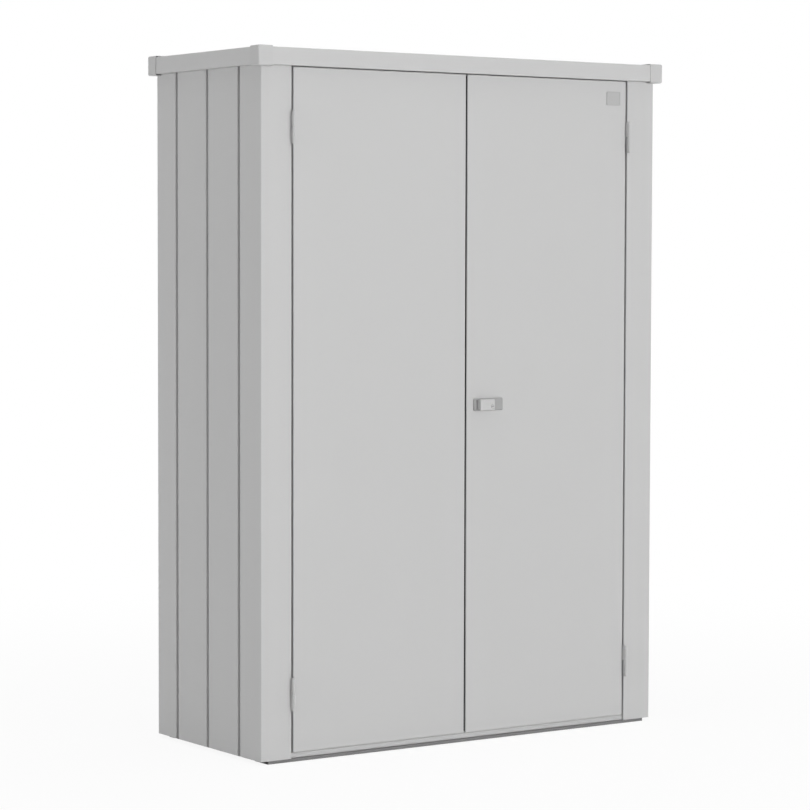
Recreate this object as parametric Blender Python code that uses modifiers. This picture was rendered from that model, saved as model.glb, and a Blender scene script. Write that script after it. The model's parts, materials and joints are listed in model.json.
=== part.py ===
# Garden cabinet in folded sheet steel, with two hinged doors, a turn handle with locking rods and shelves.
# Metres, +Z up. The origin is on the ground under the middle of the roof, and the doors face -Y.

import math

import bmesh
import bpy
from mathutils import Matrix, Vector

# Overall size, over the corner caps of the roof
overall_width = 1.320
roof_depth = 0.570
overall_height = 1.842
roof_overhang = 0.018

# Sheet steel and clearances
sheet = 0.0008
fit_gap = 0.0003
fold_radius = 0.0030
fold_segments = 3
round_segments = 24
cut_overrun = 0.010

# Corner posts and wall panels
ground_gap = 0.0088
post_face_width = 0.0925
post_corner_radius = 0.0040
post_corner_segments = 4
front_post_side = 0.1110
rear_post_side = 0.1040
jamb_depth = 0.0360
jamb_radius = 0.0025
side_panel_count = 2
rear_panel_count = 3
groove_width = 0.0110
groove_depth = 0.0100
seam_depth = 0.0220

# Base frame, floor and sill
base_height = 0.0400
base_flange = 0.0300
base_toe_setback = 0.0030
floor_rib_count = 6
floor_rib_width = 0.0240
floor_rib_height = 0.0030
floor_rib_slope = 0.0040
stop_setback = 0.0250
sill_setback = 0.0060
sill_return = 0.0120
sill_overlap = 0.0160

# Head rail over the doors
head_drop = 0.0380
head_lip = 0.0100
head_flange_rise = 0.0005

# Roof
cap_length = 0.0430
cap_wall = 0.0012
cap_rise = 0.0035
cap_drop = 0.0035
cap_radius = 0.0045
fascia_height = 0.0455
fascia_radius = 0.0020
fascia_top_flange = 0.0200
roof_groove_count = 5
roof_groove_depth = 0.0080
roof_groove_width = 0.0160
roof_groove_slope = 0.0050

# Shelves and the rails that carry them
shelf_count = 3
shelf_depth_fold = 0.0250
shelf_lip = 0.0120
shelf_radius = 0.0025
shelf_setback = 0.0550
rail_height = 0.0250
rail_leg = 0.0200
rail_overrun = 0.0200

# Doors
door_bottom = 0.0250
door_sill_gap = 0.0018
door_top_gap = 0.0015
door_side_gap = 0.0052
door_centre_gap = 0.0053
door_meeting_x = 0.0016
door_thickness = 0.0220
door_lip = 0.0150
door_radius = 0.0025
door_bevel_segments = 3
stiffener_foot = 0.0140
stiffener_crown = 0.0280
stiffener_slope = 0.0050
stiffener_depth = 0.0160

# Lift-off hinges
hinge_height = 0.0870
hinge_radius = 0.0045
hinge_stand_off = 0.0105
hinge_pin_radius = 0.0025
hinge_bore_clearance = 0.0003
hinge_offset = 0.0021
hinge_leaf = 0.0012
hinge_leaf_depth = 0.0200
hinge_washer_gap = 0.0006
hinge_chamfer = 0.0006
upper_hinge_from_top = 0.1545
lower_hinge_height = 0.1770

# Turn handle and its base plate
lock_offset = 0.0585
lock_height = 0.9095
plate_left_reach = 0.0330
plate_right_reach = 0.0635
plate_height = 0.0340
plate_thickness = 0.0060
plate_radius = 0.0045
plate_bevel_segments = 4
handle_foot_width = 0.0420
handle_foot_height = 0.0240
handle_neck_width = 0.0400
handle_neck_height = 0.0140
handle_flare_width = 0.0460
handle_flare_height = 0.0260
handle_grip_width = 0.0475
handle_grip_height = 0.0300
handle_neck_reach = 0.0050
handle_flare_reach = 0.0100
handle_grip_start = 0.0115
handle_reach = 0.0164
handle_radius = 0.0030
spindle_side = 0.0080
spindle_clearance = 0.0004
spindle_hole_radius = 0.0065

# Lock cylinder in the grip
cylinder_radius = 0.0060
cylinder_length = 0.0095
cylinder_clearance = 0.0003
cylinder_offset_x = 0.0155
cylinder_drop = 0.0045
key_slot_width = 0.0075
key_slot_height = 0.0012
key_slot_depth = 0.0060

# Crank disc and locking rods
cam_radius = 0.0200
cam_thickness = 0.0030
cam_setback = 0.0070
crank_radius = 0.0150
crank_start_deg = -45.0
crank_pin_radius = 0.0030
crank_pin_length = 0.0060
rod_width = 0.0100
rod_thickness = 0.0025
rod_foot_width = 0.0200
rod_side_offset = 0.0130
rod_cam_clearance = 0.0004
rod_tip_setback = 0.0020
rod_slot_play = 0.0008
rod_slot_travel = 0.0048
rod_foot_wall = 0.0040
rod_hole_clearance = 0.0008
guide_clearance = 0.0004
rod_guide_width = 0.0220
rod_guide_height = 0.0240
rod_guide_depth = 0.0155
rod_guide_from_end = 0.2600

# Slide bolts of the left door
bolt_width = 0.0120
bolt_thickness = 0.0050
bolt_length = 0.1400
bolt_side_offset = 0.0300
bolt_setback = 0.0080
bolt_guide_width = 0.0260
bolt_guide_height = 0.0300
bolt_guide_from_end = 0.0650
bolt_knob_radius = 0.0040
bolt_knob_length = 0.0140
bolt_knob_from_end = 0.1250

# Places that follow from the sizes above
body_half_width = overall_width / 2 - roof_overhang
body_half_depth = roof_depth / 2 - roof_overhang
handle_stand_off = plate_thickness + handle_reach + 2 * fit_gap
middle_y = max(0, handle_stand_off - roof_overhang) / 2
front_plane = middle_y - body_half_depth
rear_plane = middle_y + body_half_depth
half_opening = body_half_width - post_face_width
frame_half_width = body_half_width - seam_depth - fit_gap
frame_front = front_plane + jamb_depth + fit_gap
toe_front = front_plane + base_toe_setback
toe_top = ground_gap - fit_gap
frame_rear = rear_plane - seam_depth - fit_gap

cap_stand_off = cap_wall + fit_gap
fascia_half_width = overall_width / 2 - cap_stand_off
fascia_half_depth = roof_depth / 2 - cap_stand_off
fascia_top = overall_height - cap_rise
fascia_bottom = fascia_top - fascia_height
cap_bottom = fascia_bottom - cap_drop
roof_sheet_top = fascia_top - sheet - fit_gap
wall_top = roof_sheet_top - roof_groove_depth - sheet - fit_gap

floor_top = base_height + fit_gap + sheet
sill_top = floor_top + floor_rib_height + fit_gap + sheet
sill_front = front_plane + sill_setback
sill_tread = door_bottom - door_sill_gap
head_flange = fascia_bottom + head_flange_rise
head_bottom = fascia_bottom - head_drop

door_top = fascia_bottom - door_top_gap
door_outer_x = half_opening - door_side_gap
door_back = front_plane + door_thickness
door_skin_back = front_plane + sheet
door_middle_x = door_outer_x / 2

hinge_x = half_opening - door_side_gap / 2 + hinge_offset
hinge_y = front_plane - hinge_stand_off
hinge_heights = {"upper": door_top - upper_hinge_from_top, "lower": lower_hinge_height}

lock_x = lock_offset
plate_front = front_plane - fit_gap - plate_thickness
handle_back = plate_front - fit_gap
handle_front = handle_back - handle_reach
cam_front = front_plane + cam_setback
cam_back = cam_front + cam_thickness
rod_front = cam_back + rod_cam_clearance
rod_slot_half_height = crank_pin_radius + rod_slot_play
rod_slot_half_width = crank_pin_radius + rod_slot_travel / 2 + rod_slot_play
crank_rise = crank_radius * math.sin(math.radians(-crank_start_deg))
rod_foot_reach = crank_rise + rod_slot_half_height + rod_foot_wall

half_turn = math.pi
quarter_turn = math.pi / 2

# Finishes: base colour, roughness and metallic value
silver_paint = ((0.52, 0.52, 0.53, 1.0), 0.42, 0.35)
galvanised = ((0.46, 0.47, 0.48, 1.0), 0.45, 0.80)
cap_plastic = ((0.50, 0.50, 0.51, 1.0), 0.50, 0.10)
dark_base = ((0.04, 0.04, 0.045, 1.0), 0.60, 0.10)
hinge_steel = ((0.38, 0.38, 0.39, 1.0), 0.35, 0.70)
handle_alloy = ((0.50, 0.50, 0.51, 1.0), 0.38, 0.45)
lock_steel = ((0.55, 0.55, 0.56, 1.0), 0.28, 0.95)
guide_plastic = ((0.10, 0.10, 0.11, 1.0), 0.55, 0.00)


def clear_scene():
    """Remove what is in the scene."""
    for old in list(bpy.data.objects):
        bpy.data.objects.remove(old, do_unlink=True)


def new_collection(name):
    """A collection linked to the scene."""
    group = bpy.data.collections.new(name)
    bpy.context.scene.collection.children.link(group)
    return group


clear_scene()
cabinet = new_collection("garden_cabinet")
cutters = new_collection("cutters")


def add_finish(piece, finish):
    """Give a piece its own material."""
    colour, roughness, metallic = finish
    look = bpy.data.materials.new(piece.name + "_finish")
    look.use_nodes = True
    shader = look.node_tree.nodes["Principled BSDF"]
    shader.inputs["Base Color"].default_value = colour
    shader.inputs["Roughness"].default_value = roughness
    shader.inputs["Metallic"].default_value = metallic
    look.diffuse_color = colour
    piece.data.materials.append(look)


def add_object(name, shape, group, pivot=(0, 0, 0)):
    """Turn a bmesh in world places into an object whose origin is at its pivot."""
    origin = Vector(pivot)
    bmesh.ops.translate(shape, verts=shape.verts, vec=-origin)
    mesh = bpy.data.meshes.new(name)
    shape.to_mesh(mesh)
    shape.free()
    piece = bpy.data.objects.new(name, mesh)
    piece.location = origin
    group.objects.link(piece)
    return piece


def add_piece(name, shape, finish, pivot=(0, 0, 0)):
    """A finished piece of the cabinet."""
    piece = add_object(name, shape, cabinet, pivot)
    add_finish(piece, finish)
    return piece


def add_cutter(name, shape):
    """A shape that only cuts or joins others."""
    tool = add_object(name, shape, cutters)
    tool.hide_render = True
    tool.display_type = "WIRE"
    return tool


def boolean(piece, tool, operation):
    """Cut or join a piece with a tool."""
    step = piece.modifiers.new(tool.name, "BOOLEAN")
    step.object = tool
    step.operation = operation
    step.solver = "EXACT"


def box_shape(low, high):
    """A box between two corners."""
    low, high = Vector(low), Vector(high)
    shape = bmesh.new()
    bmesh.ops.create_cube(shape, size=1.0)
    bmesh.ops.scale(shape, verts=shape.verts, vec=high - low)
    bmesh.ops.translate(shape, verts=shape.verts, vec=(low + high) / 2)
    return shape


def round_shape(start, end, radius):
    """A cylinder between two points."""
    start, end = Vector(start), Vector(end)
    run = end - start
    turn = run.to_track_quat("Z", "Y").to_matrix().to_4x4()
    shape = bmesh.new()
    bmesh.ops.create_cone(
        shape, cap_ends=True, segments=round_segments, radius1=radius, radius2=radius, depth=run.length,
        matrix=Matrix.Translation((start + end) / 2) @ turn)
    return shape


def bevel_edges(shape, edges, width, segments):
    """Round some edges."""
    bmesh.ops.bevel(
        shape, geom=edges, offset=width, offset_type="OFFSET", segments=segments, profile=0.5,
        affect="EDGES", material=-1)


def smooth_rounds(piece):
    """Shade round stretches smooth and keep the folds sharp."""
    piece.data.shade_smooth()
    piece.data.set_sharp_from_angle(angle=math.radians(35))


def rounded(path):
    """Points of an open path (u, v, radius) with its inner corners rounded."""
    points = [Vector(path[0][:2])]
    for before, corner, after in zip(path, path[1:], path[2:]):
        here, radius = Vector(corner[:2]), corner[2]
        if not radius:
            points.append(here)
            continue
        back = (Vector(before[:2]) - here).normalized()
        ahead = (Vector(after[:2]) - here).normalized()
        half_angle = back.angle(ahead) / 2
        reach = radius / math.tan(half_angle)
        centre = here + (back + ahead).normalized() * radius / math.sin(half_angle)
        first = here + back * reach - centre
        sweep = first.angle_signed(here + ahead * reach - centre)
        steps = post_corner_segments if radius == post_corner_radius else fold_segments
        for step in range(steps + 1):
            turn = Matrix.Rotation(-sweep * step / steps, 2)
            points.append(centre + turn @ first)
    points.append(Vector(path[-1][:2]))
    return points


def mirrored(path, middle=0):
    """The same folded section for the opposite side."""
    return [(2 * middle - u, v, radius) for u, v, radius in reversed(path)]


def folded_sheet(name, path, axis, start, end, finish):
    """A folded sheet: an outer-face path run along an axis, with its thickness on the path's right."""
    places = {
        "X": lambda u, v, w: Vector((w, u, v)),
        "Y": lambda u, v, w: Vector((u, w, v)),
        "Z": lambda u, v, w: Vector((u, v, w)),
    }
    place = places[axis]
    points = rounded(path)
    shape = bmesh.new()
    row = [shape.verts.new(place(p.x, p.y, start)) for p in points]
    line = [shape.edges.new(pair) for pair in zip(row, row[1:])]
    swept = bmesh.ops.extrude_edge_only(shape, edges=line)["geom"]
    far_row = [item for item in swept if isinstance(item, bmesh.types.BMVert)]
    bmesh.ops.translate(shape, verts=far_row, vec=place(0, 0, end) - place(0, 0, start))
    shape.normal_update()
    along = points[1] - points[0]
    outward = place(-along.y, along.x, 0)
    first_face = next(face for face in shape.faces if row[0] in face.verts)
    if first_face.normal.dot(outward) < 0:
        bmesh.ops.reverse_faces(shape, faces=shape.faces)
    piece = add_piece(name, shape, finish)
    add_thickness(piece, sheet)
    smooth_rounds(piece)
    return piece


def add_thickness(piece, thickness):
    """Give an open surface its thickness behind its outer face."""
    wall = piece.modifiers.new("thickness", "SOLIDIFY")
    wall.thickness = thickness
    wall.offset = -1
    wall.use_even_offset = True


def lipped_pan(name, low, high, open_side, lip, radius, finish, pivot=(0, 0, 0)):
    """A sheet tray with folded sides and inner lips, open on one side."""
    shape = box_shape(low, high)
    shape.normal_update()
    away = Vector(open_side)
    mouth = next(face for face in shape.faces if face.normal.dot(away) > 0.5)
    folds = list(shape.edges)
    bmesh.ops.inset_region(shape, faces=[mouth], thickness=lip, use_even_offset=True)
    bmesh.ops.delete(shape, geom=[mouth], context="FACES")
    bevel_edges(shape, folds, radius, door_bevel_segments)
    piece = add_piece(name, shape, finish, pivot)
    add_thickness(piece, sheet)
    smooth_rounds(piece)
    return piece


def wall_point(side, along, inward, radius=0):
    """A plan point on one side of the body, walking round it with the inside on the right."""
    return {
        "front": (-along, front_plane + inward, radius),
        "left": (-body_half_width + inward, along, radius),
        "rear": (along, rear_plane - inward, radius),
        "right": (body_half_width - inward, -along, radius),
    }[side]


def seam_start(side, seam):
    """The plain flange with which a wall piece begins behind a seam groove."""
    edge = seam + groove_width / 2
    return [wall_point(side, edge, seam_depth), wall_point(side, edge, 0, fold_radius)]


def seam_end(side, seam):
    """The stepped flange that closes the groove's floor and laps the next piece's flange."""
    edge = seam - groove_width / 2
    lap = seam + groove_width / 2 - fit_gap
    return [
        wall_point(side, edge, 0, fold_radius),
        wall_point(side, edge, groove_depth),
        wall_point(side, lap, groove_depth),
        wall_point(side, lap, seam_depth),
    ]


def pressed_groove(side, seam):
    """A groove pressed into the middle of a panel, like the seams beside it."""
    before, after = seam - groove_width / 2, seam + groove_width / 2
    return [
        wall_point(side, before, 0, fold_radius),
        wall_point(side, before, groove_depth),
        wall_point(side, after, groove_depth),
        wall_point(side, after, 0, fold_radius),
    ]


def seams_between(first, last, count):
    """Seam places that split a run into equal panels."""
    return [first + (last - first) * step / count for step in range(count + 1)]


# Seam places, measured the way the walk round the body goes
left_seams = seams_between(
    front_plane + front_post_side, rear_plane - rear_post_side, side_panel_count)
right_seams = seams_between(
    rear_post_side - rear_plane, -front_plane - front_post_side, side_panel_count)
rear_seams = seams_between(
    -body_half_width + post_face_width, body_half_width - post_face_width, rear_panel_count)


def make_wall(name, path):
    """A wall piece from the ground gap up to the roof."""
    return folded_sheet(name, path, "Z", ground_gap, wall_top, silver_paint)


def make_posts():
    """Four corner posts, the front ones with a jamb for the doors."""
    jamb = half_opening
    make_wall("left_front_post", [
        (-jamb, front_plane + jamb_depth, 0),
        (-jamb, front_plane, jamb_radius),
        (-body_half_width, front_plane, post_corner_radius),
        *seam_end("left", left_seams[0]),
    ])
    make_wall("left_rear_post", [
        *seam_start("left", left_seams[-1]),
        (-body_half_width, rear_plane, post_corner_radius),
        *seam_end("rear", rear_seams[0]),
    ])
    make_wall("right_rear_post", [
        *seam_start("rear", rear_seams[-1]),
        (body_half_width, rear_plane, post_corner_radius),
        *seam_end("right", right_seams[0]),
    ])
    make_wall("right_front_post", [
        *seam_start("right", right_seams[-1]),
        (body_half_width, front_plane, post_corner_radius),
        (jamb, front_plane, jamb_radius),
        (jamb, front_plane + jamb_depth, 0),
    ])


def make_side_panels():
    """Plain panels between the posts, seamed in grooves."""
    for side, seams in (("left", left_seams), ("right", right_seams)):
        for number, (first, last) in enumerate(zip(seams, seams[1:]), start=1):
            make_wall(f"{side}_side_panel_{number}", seam_start(side, first) + seam_end(side, last))


def make_rear_panels():
    """Wide rear panels, each with one pressed groove in its middle."""
    for number, (first, last) in enumerate(zip(rear_seams, rear_seams[1:]), start=1):
        make_wall(f"rear_panel_{number}", [
            *seam_start("rear", first),
            *pressed_groove("rear", (first + last) / 2),
            *seam_end("rear", last),
        ])


def add_slot(piece, name, middle_x, low_y, high_y, low_z, high_z, half_width):
    """Cut a slot for a rod or bolt through a flange."""
    slot = add_cutter(name, box_shape(
        (middle_x - half_width, low_y, low_z), (middle_x + half_width, high_y, high_z)))
    boolean(piece, slot, "DIFFERENCE")


rod_places = {
    "upper": lock_x + rod_side_offset,
    "lower": lock_x - rod_side_offset,
}


def cut_bolt_slots(piece, low_z, high_z, name, which_rod):
    """Cut what a locking rod and a slide bolt of the left door pass through."""
    add_slot(
        piece, name + "_rod_slot", rod_places[which_rod], rod_front - rod_hole_clearance,
        rod_front + rod_thickness + rod_hole_clearance, low_z, high_z, rod_width / 2 + rod_hole_clearance)
    add_slot(
        piece, name + "_bolt_slot", -bolt_side_offset, front_plane + bolt_setback - rod_hole_clearance,
        front_plane + bolt_setback + bolt_thickness + rod_hole_clearance, low_z, high_z,
        bolt_width / 2 + rod_hole_clearance)


def channel_path(outer):
    """A base rail's channel: foot, web and top, open towards the inside."""
    return [
        (outer + base_flange, 0, 0),
        (outer, 0, jamb_radius),
        (outer, base_height, jamb_radius),
        (outer + base_flange, base_height, 0),
    ]


def toe_channel_path():
    """The front rail's channel, with a low toe that reaches forward under the sill and the posts."""
    return [
        (frame_front + base_flange, 0, 0),
        (toe_front, 0, 0),
        (toe_front, toe_top, 0),
        (frame_front, toe_top, 0),
        (frame_front, base_height, jamb_radius),
        (frame_front + base_flange, base_height, 0),
    ]


def make_base_frame():
    """Four channels that stand on the ground and carry the floor."""
    front_path = toe_channel_path()
    rear_path = mirrored(channel_path(-frame_rear))
    left_path = channel_path(-frame_half_width)
    front_rail = folded_sheet(
        "base_front_rail", front_path, "X", -frame_half_width, frame_half_width, dark_base)
    cut_bolt_slots(
        front_rail, sheet + rod_hole_clearance, toe_top + rod_hole_clearance, "base_rail", "lower")
    folded_sheet("base_rear_rail", rear_path, "X", -frame_half_width, frame_half_width, dark_base)
    side_start = frame_front + base_flange + fit_gap
    side_end = frame_rear - base_flange - fit_gap
    folded_sheet("base_left_rail", left_path, "Y", side_start, side_end, dark_base)
    folded_sheet("base_right_rail", mirrored(left_path), "Y", side_start, side_end, dark_base)


def ribbed_path(half_width, level, count, width, rise, slope):
    """A flat sheet section with evenly spaced pressed ribs, up for a positive rise."""
    pitch = 2 * half_width / count
    path = [(-half_width, level, 0)]
    for step in range(count):
        middle = -half_width + pitch * (step + 1 / 2)
        path += [
            (middle - width / 2, level, 0),
            (middle - width / 2 + slope, level + rise, 0),
            (middle + width / 2 - slope, level + rise, 0),
            (middle + width / 2, level, 0),
        ]
    return path + [(half_width, level, 0)]


def make_floor():
    """The floor sheet with raised ribs, lying on the base frame."""
    path = ribbed_path(
        frame_half_width, floor_top, floor_rib_count, floor_rib_width, floor_rib_height, floor_rib_slope)
    folded_sheet("floor_panel", path, "Y", frame_front, frame_rear, galvanised)


def make_sill():
    """The threshold under the doors: a front face, a tread, an upstand as door stop, a lap on the floor."""
    stop = front_plane + stop_setback
    piece = folded_sheet("sill", [
        (sill_front + sill_return, ground_gap, 0),
        (sill_front, ground_gap, jamb_radius),
        (sill_front, sill_tread, jamb_radius),
        (stop, sill_tread, jamb_radius),
        (stop, sill_top, jamb_radius),
        (front_plane + jamb_depth + sill_overlap, sill_top, 0),
    ], "X", -half_opening + fit_gap, half_opening - fit_gap, silver_paint)
    return piece


def make_head_rail():
    """The rail over the doors: a door stop, a flange that takes the rods, and an upstand behind the fascia."""
    stop = front_plane + stop_setback
    piece = folded_sheet("head_rail", [
        (stop + head_lip, head_bottom, 0),
        (stop, head_bottom, jamb_radius),
        (stop, head_flange, 0),
        (front_plane, head_flange, 0),
        (front_plane, wall_top, 0),
    ], "X", -half_opening + fit_gap, half_opening - fit_gap, silver_paint)
    return piece


def make_roof():
    """The roof sheet, with drain grooves that rest on the walls."""
    half_width = fascia_half_width - fascia_radius - fit_gap
    half_depth = fascia_half_depth - fascia_radius - fit_gap
    path = ribbed_path(
        half_width, roof_sheet_top, roof_groove_count, roof_groove_width, -roof_groove_depth,
        roof_groove_slope)
    folded_sheet("roof_panel", path, "Y", middle_y - half_depth, middle_y + half_depth, silver_paint)


def fascia_path(outer, wall):
    """A fascia's channel: soffit back to the wall, face, and top flange."""
    return [
        (-wall - fit_gap, fascia_bottom, 0),
        (-outer, fascia_bottom, fascia_radius),
        (-outer, fascia_top, fascia_radius),
        (-outer + fascia_top_flange, fascia_top, 0),
    ]


def make_fascias():
    """Four fascias round the roof, the front and rear ones running through."""
    front_path = fascia_path(fascia_half_depth - middle_y, -front_plane)
    side_path = fascia_path(fascia_half_width, body_half_width)
    half_width = overall_width / 2 - cap_radius
    half_run = fascia_half_depth - fascia_top_flange - fit_gap
    folded_sheet("front_fascia", front_path, "X", -half_width, half_width, silver_paint)
    folded_sheet("rear_fascia", mirrored(front_path, middle_y), "X", -half_width, half_width, silver_paint)
    start, end = middle_y - half_run, middle_y + half_run
    folded_sheet("left_fascia", side_path, "Y", start, end, silver_paint)
    folded_sheet("right_fascia", mirrored(side_path), "Y", start, end, silver_paint)


def make_corner_cap(name, x_sign, y_sign):
    """A moulded cap over a roof corner, open towards both fascias and notched for the post."""
    outer = Vector((x_sign * overall_width / 2, middle_y + y_sign * roof_depth / 2, overall_height))
    inner = outer - Vector((x_sign * cap_length, y_sign * cap_length, overall_height - cap_bottom))
    low = Vector(map(min, outer, inner))
    high = Vector(map(max, outer, inner))
    shape = box_shape(low, high)
    shape.normal_update()
    inside = [f for f in shape.faces if f.normal.x * x_sign < -0.5 or f.normal.y * y_sign < -0.5]
    bmesh.ops.delete(shape, geom=inside, context="FACES")
    rounds = [edge for edge in shape.edges if len(edge.link_faces) == 2]
    bevel_edges(shape, rounds, cap_radius, door_bevel_segments)
    piece = add_piece(name, shape, cap_plastic)
    add_thickness(piece, cap_wall)
    smooth_rounds(piece)
    notch_x = x_sign * (body_half_width + fit_gap)
    notch_y = middle_y + y_sign * (body_half_depth + fit_gap)
    far_x = notch_x - x_sign * cap_length
    far_y = notch_y - y_sign * cap_length
    notch = add_cutter(name + "_notch", box_shape(
        (min(notch_x, far_x), min(notch_y, far_y), cap_bottom - cut_overrun),
        (max(notch_x, far_x), max(notch_y, far_y), wall_top)))
    boolean(piece, notch, "DIFFERENCE")
    return piece


def make_corner_caps():
    """One cap for each roof corner."""
    for depth_name, y_sign in (("front", -1), ("rear", 1)):
        for side_name, x_sign in (("left", -1), ("right", 1)):
            make_corner_cap(f"{side_name}_{depth_name}_cap", x_sign, y_sign)


def shelf_tops():
    """Shelf levels that split the inside into equal compartments."""
    pitch = (head_bottom - floor_top) / (shelf_count + 1)
    return [floor_top + pitch * (step + 1) for step in range(shelf_count)]


def make_shelves():
    """Shelf trays on angle rails, which are fixed to the wall seams."""
    rail_start = left_seams[0] - rail_overrun
    rail_end = left_seams[-1] + rail_overrun
    for number, top in enumerate(shelf_tops(), start=1):
        bottom = top - shelf_depth_fold
        rail_bottom = bottom - fit_gap - sheet
        rail_path = [
            (-frame_half_width + rail_leg, rail_bottom, 0),
            (-frame_half_width, rail_bottom, jamb_radius),
            (-frame_half_width, rail_bottom + rail_height, 0),
        ]
        folded_sheet(f"shelf_rail_left_{number}", rail_path, "Y", rail_start, rail_end, galvanised)
        folded_sheet(f"shelf_rail_right_{number}", mirrored(rail_path), "Y", rail_start, rail_end,
                     galvanised)
        half_width = frame_half_width - sheet - fit_gap
        lipped_pan(
            f"shelf_{number}", (-half_width, front_plane + shelf_setback, bottom),
            (half_width, frame_rear, top), (0, 0, -1), shelf_lip, shelf_radius, galvanised)


def hinge_pivot(side_sign):
    """The door's hinge axis on the ground plane."""
    return (side_sign * hinge_x, hinge_y, 0)


def make_door_pan(side_name, side_sign):
    """A door tray with lips inside, rounded edges outside."""
    inner_x = door_meeting_x + side_sign * door_centre_gap / 2
    xs = sorted((inner_x, side_sign * door_outer_x))
    return lipped_pan(
        f"{side_name}_door_panel", (xs[0], front_plane, door_bottom), (xs[1], door_back, door_top),
        (0, 1, 0), door_lip, door_radius, silver_paint, hinge_pivot(side_sign))


def cut_left_door(piece):
    """Bolt slots in the left door's top and bottom flanges."""
    for name, level in (("top", door_top), ("bottom", door_bottom)):
        add_slot(
            piece, f"left_door_{name}_slot", -bolt_side_offset,
            front_plane + bolt_setback - rod_hole_clearance,
            front_plane + bolt_setback + bolt_thickness + rod_hole_clearance,
            level - cut_overrun / 2, level + cut_overrun / 2, bolt_width / 2 + rod_hole_clearance)


def cut_right_door(piece):
    """Rod slots in the right door's flanges and the spindle's hole in its skin."""
    for which_rod, level in (("upper", door_top), ("lower", door_bottom)):
        add_slot(
            piece, f"right_door_{which_rod}_slot", rod_places[which_rod], rod_front - rod_hole_clearance,
            rod_front + rod_thickness + rod_hole_clearance, level - cut_overrun / 2,
            level + cut_overrun / 2, rod_width / 2 + rod_hole_clearance)
    hole = add_cutter("right_door_spindle_hole", round_shape(
        (lock_x, front_plane - cut_overrun / 2, lock_height),
        (lock_x, front_plane + cut_overrun / 2, lock_height), spindle_hole_radius))
    boolean(piece, hole, "DIFFERENCE")


def make_stiffener(side_name, side_sign):
    """A hat-section stiffener up the middle of a door."""
    seat = door_skin_back + fit_gap + sheet
    crown = door_skin_back + fit_gap + stiffener_depth
    half_crown = stiffener_crown / 2
    half_hat = half_crown + stiffener_slope
    middle = side_sign * door_middle_x
    folded_sheet(f"{side_name}_door_stiffener", [
        (middle + half_hat + stiffener_foot, seat, 0),
        (middle + half_hat, seat, 0),
        (middle + half_crown, crown, 0),
        (middle - half_crown, crown, 0),
        (middle - half_hat, seat, 0),
        (middle - half_hat - stiffener_foot, seat, 0),
    ][::-1], "Z", door_bottom + door_radius, door_top - door_radius, galvanised)


def hinge_barrel(name, side_sign, low, high, finish):
    """A hinge knuckle with chamfered ends."""
    x = side_sign * hinge_x
    shape = round_shape((x, hinge_y, low), (x, hinge_y, high), hinge_radius)
    rims = [edge for edge in shape.edges if abs(edge.verts[0].co.z - edge.verts[1].co.z) < fit_gap]
    bevel_edges(shape, rims, hinge_chamfer, 1)
    piece = add_piece(name, shape, finish, hinge_pivot(side_sign))
    smooth_rounds(piece)
    return piece


def hinge_leaf_shape(side_sign, outer_x, low, high):
    """A hinge leaf in the gap beside the door, from the knuckle back along the flange."""
    xs = sorted((side_sign * outer_x, side_sign * (outer_x - hinge_leaf)))
    inset = hinge_chamfer * 2
    return box_shape((xs[0], hinge_y, low + inset), (xs[1], front_plane + hinge_leaf_depth, high - inset))


def make_hinge(side_name, side_sign, place, middle):
    """A lift-off hinge: a lower knuckle with its pin on the post, an upper knuckle on the door."""
    x = side_sign * hinge_x
    low, high = middle - hinge_height / 2, middle + hinge_height / 2
    lower_top = middle - hinge_washer_gap / 2
    upper_bottom = middle + hinge_washer_gap / 2
    pin_top = high - hinge_height / 8
    label = f"{side_name}_{place}_hinge"
    frame_half = hinge_barrel(label + "_frame_half", side_sign, low, lower_top, hinge_steel)
    frame_leaf = add_cutter(label + "_frame_leaf", hinge_leaf_shape(
        side_sign, half_opening - fit_gap, low, lower_top))
    pin = add_cutter(label + "_pin", round_shape(
        (x, hinge_y, low + hinge_height / 8), (x, hinge_y, pin_top), hinge_pin_radius))
    boolean(frame_half, frame_leaf, "UNION")
    boolean(frame_half, pin, "UNION")
    door_half = hinge_barrel(label + "_door_half", side_sign, upper_bottom, high, hinge_steel)
    door_leaf = add_cutter(label + "_door_leaf", hinge_leaf_shape(
        side_sign, door_outer_x + fit_gap + hinge_leaf, upper_bottom, high))
    bore = add_cutter(label + "_bore", round_shape(
        (x, hinge_y, upper_bottom - cut_overrun), (x, hinge_y, pin_top + hinge_washer_gap),
        hinge_pin_radius + hinge_bore_clearance))
    boolean(door_half, door_leaf, "UNION")
    boolean(door_half, bore, "DIFFERENCE")


def make_hinges():
    """Two hinges on each door."""
    for side_name, side_sign in (("left", -1), ("right", 1)):
        for place, middle in hinge_heights.items():
            make_hinge(side_name, side_sign, place, middle)


def make_handle_plate():
    """The domed base plate of the handle, pierced for the spindle."""
    half_height = plate_height / 2
    shape = box_shape(
        (lock_x - plate_left_reach, plate_front, lock_height - half_height),
        (lock_x + plate_right_reach, front_plane - fit_gap, lock_height + half_height))
    back = front_plane - fit_gap
    rounds = [
        edge for edge in shape.edges
        if min(edge.verts[0].co.y, edge.verts[1].co.y) < back - plate_thickness / 2
    ]
    bevel_edges(shape, rounds, plate_radius, plate_bevel_segments)
    piece = add_piece("handle_plate", shape, handle_alloy)
    smooth_rounds(piece)
    hole = add_cutter("handle_plate_hole", round_shape(
        (lock_x, plate_front - cut_overrun, lock_height),
        (lock_x, front_plane + cut_overrun, lock_height), spindle_hole_radius))
    boolean(piece, hole, "DIFFERENCE")


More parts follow.
